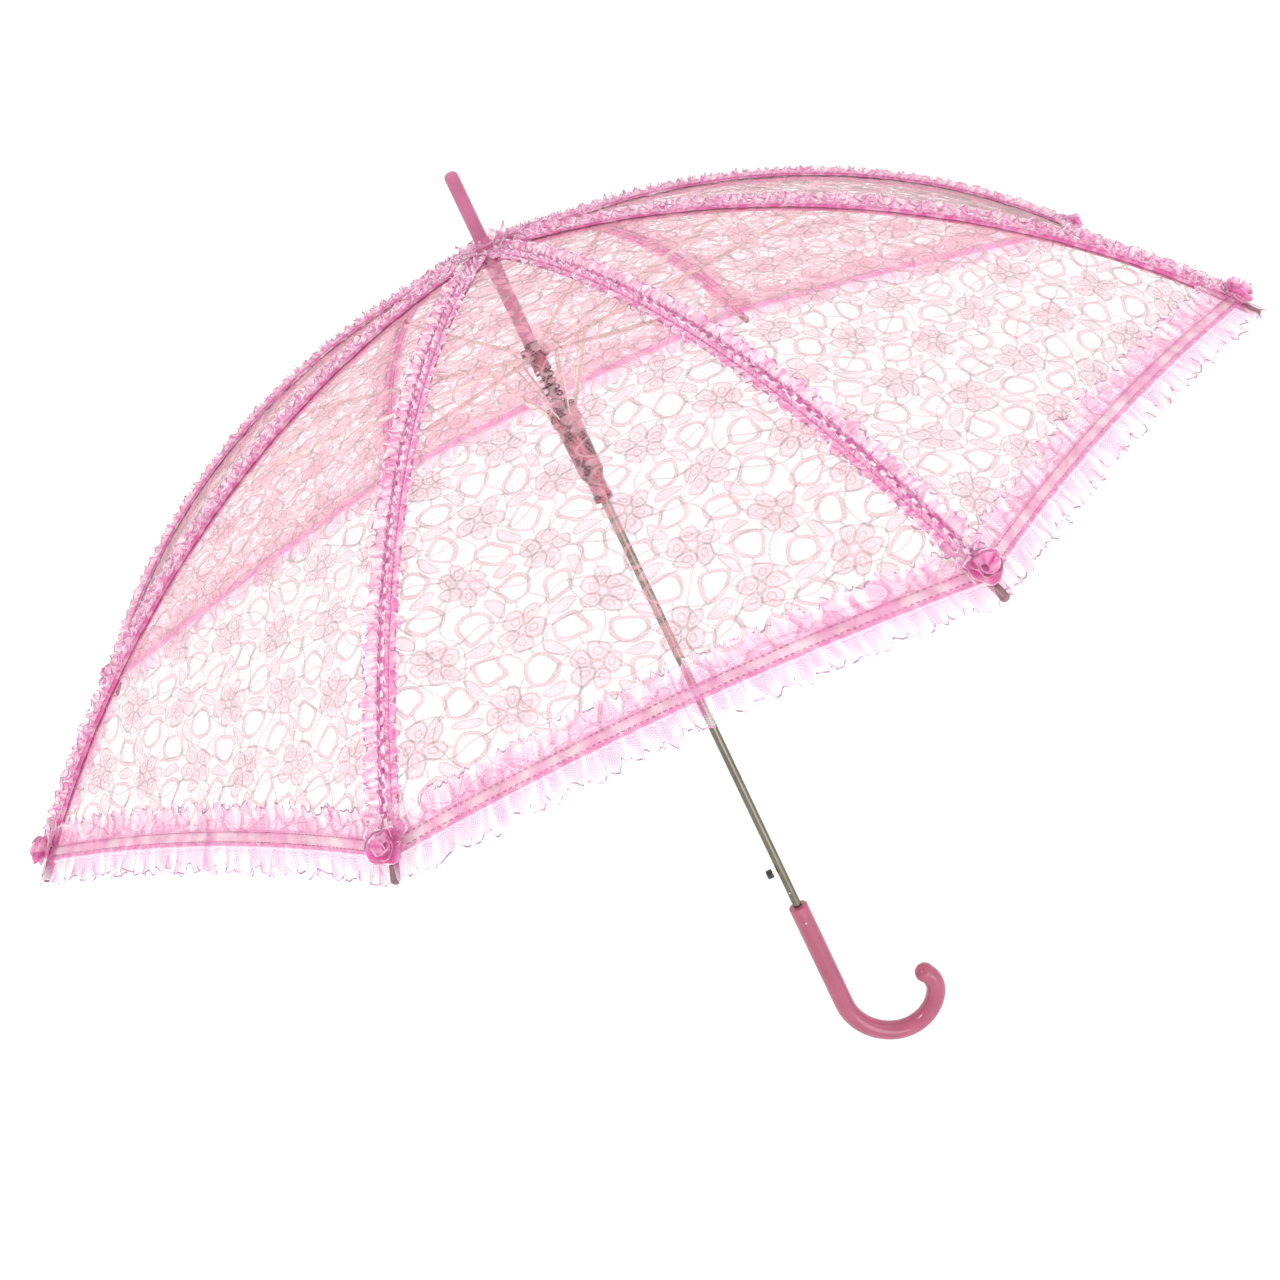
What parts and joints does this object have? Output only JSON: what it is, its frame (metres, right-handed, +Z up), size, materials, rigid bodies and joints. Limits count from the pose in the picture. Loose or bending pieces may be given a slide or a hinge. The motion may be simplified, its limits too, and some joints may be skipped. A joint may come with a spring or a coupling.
{
  "type": "lace parasol",
  "caption": "Open stick parasol with a domed lace canopy on hinged ribs, a sliding runner that folds it, a release catch and a crook handle.",
  "frame": {"origin": "on the shaft axis at the top end of the handle", "axes": "+Z up the shaft to the ferrule, +X the way the hook of the handle opens; drawn open"},
  "size_m": [0.7758, 0.7758, 0.6854],
  "materials": {
    "rib_steel": "satin plated channel",
    "rib_tip": "dark mauve brown, glossy",
    "lace": "openwork lace, pale pink with a grey-pink cord",
    "stretcher_steel": "satin plated",
    "shaft_metal": "polished, slightly warm",
    "handle_plastic": "glossy rose pink",
    "small_steel": "plain wire",
    "pink_plastic": "glossy mauve pink",
    "frill": "gathered hot-pink and white frill",
    "runner_plastic": "glossy rose pink",
    "spring_steel": "coiled wire",
    "catch_metal": "bright nickel",
    "button_plastic": "black"
  },
  "bodies": {
    "shaft": {"shaft_tube": "shaft_metal", "crook_handle": "handle_plastic", "handle_pin": "small_steel", "top_ferrule": "pink_plastic", "crown_notch": "pink_plastic", "crown_ring_wire": "small_steel", "crown_rosette": "frill", "stop_sleeve": "pink_plastic", "notch_rivet": "small_steel", "sleeve_rivet": "small_steel", "catch_pin": "small_steel"},
    "upper_slider": {"upper_runner": "runner_plastic", "upper_ring_wire": "small_steel"},
    "lower_slider": {"lower_runner": "runner_plastic", "lower_ring_wire": "small_steel", "runner_spring": "spring_steel"},
    "release_catch": {"catch_lever": "catch_metal", "catch_button": "button_plastic"},
    "rib_arm_1": {"rib_1": "rib_steel", "rib_tip_1": "rib_tip", "canopy_sector_1": "lace"},
    "rib_arm_2": {"rib_2": "rib_steel", "rib_tip_2": "rib_tip", "canopy_sector_2": "lace"},
    "rib_arm_3": {"rib_3": "rib_steel", "rib_tip_3": "rib_tip", "canopy_sector_3": "lace"},
    "rib_arm_4": {"rib_4": "rib_steel", "rib_tip_4": "rib_tip", "canopy_sector_4": "lace"},
    "rib_arm_5": {"rib_5": "rib_steel", "rib_tip_5": "rib_tip", "canopy_sector_5": "lace"},
    "rib_arm_6": {"rib_6": "rib_steel", "rib_tip_6": "rib_tip", "canopy_sector_6": "lace"},
    "rib_arm_7": {"rib_7": "rib_steel", "rib_tip_7": "rib_tip", "canopy_sector_7": "lace"},
    "rib_arm_8": {"rib_8": "rib_steel", "rib_tip_8": "rib_tip", "canopy_sector_8": "lace"},
    "stretcher_arm_1": {"stretcher_1": "stretcher_steel"},
    "stretcher_arm_2": {"stretcher_2": "stretcher_steel"},
    "stretcher_arm_3": {"stretcher_3": "stretcher_steel"},
    "stretcher_arm_4": {"stretcher_4": "stretcher_steel"},
    "stretcher_arm_5": {"stretcher_5": "stretcher_steel"},
    "stretcher_arm_6": {"stretcher_6": "stretcher_steel"},
    "stretcher_arm_7": {"stretcher_7": "stretcher_steel"},
    "stretcher_arm_8": {"stretcher_8": "stretcher_steel"},
    "link_arm_1": {"link_1": "stretcher_steel"},
    "link_arm_2": {"link_2": "stretcher_steel"},
    "link_arm_3": {"link_3": "stretcher_steel"},
    "link_arm_4": {"link_4": "stretcher_steel"},
    "link_arm_5": {"link_5": "stretcher_steel"},
    "link_arm_6": {"link_6": "stretcher_steel"},
    "link_arm_7": {"link_7": "stretcher_steel"},
    "link_arm_8": {"link_8": "stretcher_steel"}
  },
  "joints": [
    {"name": "lower_runner_slide", "type": "slide", "parent": "shaft", "child": "lower_slider", "axis": [0, 0, -1], "range_m": [0, 0.28904], "stiffness_N_per_m": 16, "springref_m": -0.35},
    {"name": "upper_runner_slide", "type": "slide", "parent": "shaft", "child": "upper_slider", "axis": [0, 0, -1], "range_m": [0, 0.30723], "deforming": ["runner_spring"]},
    {"name": "catch_press", "type": "hinge", "parent": "shaft", "child": "release_catch", "pos_m": [-0.0012, 0, 0.013], "axis": [0, 1, 0], "range_deg": [0, 5.5], "stiffness_Nm_per_rad": 0.5, "springref_deg": -4.58},
    {"name": "rib_hinge_1", "type": "hinge", "parent": "shaft", "child": "rib_arm_1", "pos_m": [0.00693, 0.00287, 0.4973], "axis": [-0.3827, 0.9239, 0], "range_deg": [0, 61.5], "deforming": ["canopy_sector_1"]},
    {"name": "rib_hinge_2", "type": "hinge", "parent": "shaft", "child": "rib_arm_2", "pos_m": [0.00287, 0.00693, 0.4973], "axis": [-0.9239, 0.3827, 0], "range_deg": [0, 61.5], "deforming": ["canopy_sector_2"]},
    {"name": "rib_hinge_3", "type": "hinge", "parent": "shaft", "child": "rib_arm_3", "pos_m": [-0.00287, 0.00693, 0.4973], "axis": [-0.9239, -0.3827, 0], "range_deg": [0, 61.5], "deforming": ["canopy_sector_3"]},
    {"name": "rib_hinge_4", "type": "hinge", "parent": "shaft", "child": "rib_arm_4", "pos_m": [-0.00693, 0.00287, 0.4973], "axis": [-0.3827, -0.9239, 0], "range_deg": [0, 61.5], "deforming": ["canopy_sector_4"]},
    {"name": "rib_hinge_5", "type": "hinge", "parent": "shaft", "child": "rib_arm_5", "pos_m": [-0.00693, -0.00287, 0.4973], "axis": [0.3827, -0.9239, 0], "range_deg": [0, 61.5], "deforming": ["canopy_sector_5"]},
    {"name": "rib_hinge_6", "type": "hinge", "parent": "shaft", "child": "rib_arm_6", "pos_m": [-0.00287, -0.00693, 0.4973], "axis": [0.9239, -0.3827, 0], "range_deg": [0, 61.5], "deforming": ["canopy_sector_6"]},
    {"name": "rib_hinge_7", "type": "hinge", "parent": "shaft", "child": "rib_arm_7", "pos_m": [0.00287, -0.00693, 0.4973], "axis": [0.9239, 0.3827, 0], "range_deg": [0, 61.5], "deforming": ["canopy_sector_7"]},
    {"name": "rib_hinge_8", "type": "hinge", "parent": "shaft", "child": "rib_arm_8", "pos_m": [0.00693, -0.00287, 0.4973], "axis": [0.3827, 0.9239, 0], "range_deg": [0, 61.5], "deforming": ["canopy_sector_8"]},
    {"name": "stretcher_hinge_1", "type": "hinge", "parent": "upper_slider", "child": "stretcher_arm_1", "pos_m": [0.00563, 0.00471, 0.4298], "axis": [0.3827, -0.9239, 0], "range_deg": [0, 67.48]},
    {"name": "stretcher_hinge_2", "type": "hinge", "parent": "upper_slider", "child": "stretcher_arm_2", "pos_m": [0.00065, 0.00731, 0.4298], "axis": [0.9239, -0.3827, 0], "range_deg": [0, 67.48]},
    {"name": "stretcher_hinge_3", "type": "hinge", "parent": "upper_slider", "child": "stretcher_arm_3", "pos_m": [-0.00471, 0.00563, 0.4298], "axis": [0.9239, 0.3827, 0], "range_deg": [0, 67.48]},
    {"name": "stretcher_hinge_4", "type": "hinge", "parent": "upper_slider", "child": "stretcher_arm_4", "pos_m": [-0.00731, 0.00065, 0.4298], "axis": [0.3827, 0.9239, 0], "range_deg": [0, 67.48]},
    {"name": "stretcher_hinge_5", "type": "hinge", "parent": "upper_slider", "child": "stretcher_arm_5", "pos_m": [-0.00563, -0.00471, 0.4298], "axis": [-0.3827, 0.9239, 0], "range_deg": [0, 67.48]},
    {"name": "stretcher_hinge_6", "type": "hinge", "parent": "upper_slider", "child": "stretcher_arm_6", "pos_m": [-0.00065, -0.00731, 0.4298], "axis": [-0.9239, 0.3827, 0], "range_deg": [0, 67.48]},
    {"name": "stretcher_hinge_7", "type": "hinge", "parent": "upper_slider", "child": "stretcher_arm_7", "pos_m": [0.00471, -0.00563, 0.4298], "axis": [-0.9239, -0.3827, 0], "range_deg": [0, 67.48]},
    {"name": "stretcher_hinge_8", "type": "hinge", "parent": "upper_slider", "child": "stretcher_arm_8", "pos_m": [0.00731, -0.00065, 0.4298], "axis": [-0.3827, -0.9239, 0], "range_deg": [0, 67.48]},
    {"name": "link_hinge_1", "type": "hinge", "parent": "lower_slider", "child": "link_arm_1", "pos_m": [0.00785, 0.00325, 0.388], "axis": [0.3827, -0.9239, 0], "range_deg": [0, 25.75]},
    {"name": "link_hinge_2", "type": "hinge", "parent": "lower_slider", "child": "link_arm_2", "pos_m": [0.00325, 0.00785, 0.388], "axis": [0.9239, -0.3827, 0], "range_deg": [0, 25.75]},
    {"name": "link_hinge_3", "type": "hinge", "parent": "lower_slider", "child": "link_arm_3", "pos_m": [-0.00325, 0.00785, 0.388], "axis": [0.9239, 0.3827, 0], "range_deg": [0, 25.75]},
    {"name": "link_hinge_4", "type": "hinge", "parent": "lower_slider", "child": "link_arm_4", "pos_m": [-0.00785, 0.00325, 0.388], "axis": [0.3827, 0.9239, 0], "range_deg": [0, 25.75]},
    {"name": "link_hinge_5", "type": "hinge", "parent": "lower_slider", "child": "link_arm_5", "pos_m": [-0.00785, -0.00325, 0.388], "axis": [-0.3827, 0.9239, 0], "range_deg": [0, 25.75]},
    {"name": "link_hinge_6", "type": "hinge", "parent": "lower_slider", "child": "link_arm_6", "pos_m": [-0.00325, -0.00785, 0.388], "axis": [-0.9239, 0.3827, 0], "range_deg": [0, 25.75]},
    {"name": "link_hinge_7", "type": "hinge", "parent": "lower_slider", "child": "link_arm_7", "pos_m": [0.00325, -0.00785, 0.388], "axis": [-0.9239, -0.3827, 0], "range_deg": [0, 25.75]},
    {"name": "link_hinge_8", "type": "hinge", "parent": "lower_slider", "child": "link_arm_8", "pos_m": [0.00785, -0.00325, 0.388], "axis": [-0.3827, -0.9239, 0], "range_deg": [0, 25.75]}
  ],
  "couplings": [
    {"joint": "upper_runner_slide", "follows": "lower_runner_slide", "ratio": 1.0629},
    {"joint": "rib_hinge_1", "follows": "lower_runner_slide", "rad_per_m": 3.7136},
    {"joint": "rib_hinge_2", "follows": "lower_runner_slide", "rad_per_m": 3.7136},
    {"joint": "rib_hinge_3", "follows": "lower_runner_slide", "rad_per_m": 3.7136},
    {"joint": "rib_hinge_4", "follows": "lower_runner_slide", "rad_per_m": 3.7136},
    {"joint": "rib_hinge_5", "follows": "lower_runner_slide", "rad_per_m": 3.7136},
    {"joint": "rib_hinge_6", "follows": "lower_runner_slide", "rad_per_m": 3.7136},
    {"joint": "rib_hinge_7", "follows": "lower_runner_slide", "rad_per_m": 3.7136},
    {"joint": "rib_hinge_8", "follows": "lower_runner_slide", "rad_per_m": 3.7136},
    {"joint": "stretcher_hinge_1", "follows": "lower_runner_slide", "rad_per_m": 4.0745},
    {"joint": "stretcher_hinge_2", "follows": "lower_runner_slide", "rad_per_m": 4.0745},
    {"joint": "stretcher_hinge_3", "follows": "lower_runner_slide", "rad_per_m": 4.0745},
    {"joint": "stretcher_hinge_4", "follows": "lower_runner_slide", "rad_per_m": 4.0745},
    {"joint": "stretcher_hinge_5", "follows": "lower_runner_slide", "rad_per_m": 4.0745},
    {"joint": "stretcher_hinge_6", "follows": "lower_runner_slide", "rad_per_m": 4.0745},
    {"joint": "stretcher_hinge_7", "follows": "lower_runner_slide", "rad_per_m": 4.0745},
    {"joint": "stretcher_hinge_8", "follows": "lower_runner_slide", "rad_per_m": 4.0745},
    {"joint": "link_hinge_1", "follows": "lower_runner_slide", "rad_per_m": 1.5549},
    {"joint": "link_hinge_2", "follows": "lower_runner_slide", "rad_per_m": 1.5549},
    {"joint": "link_hinge_3", "follows": "lower_runner_slide", "rad_per_m": 1.5549},
    {"joint": "link_hinge_4", "follows": "lower_runner_slide", "rad_per_m": 1.5549},
    {"joint": "link_hinge_5", "follows": "lower_runner_slide", "rad_per_m": 1.5549},
    {"joint": "link_hinge_6", "follows": "lower_runner_slide", "rad_per_m": 1.5549},
    {"joint": "link_hinge_7", "follows": "lower_runner_slide", "rad_per_m": 1.5549},
    {"joint": "link_hinge_8", "follows": "lower_runner_slide", "rad_per_m": 1.5549}
  ]
}
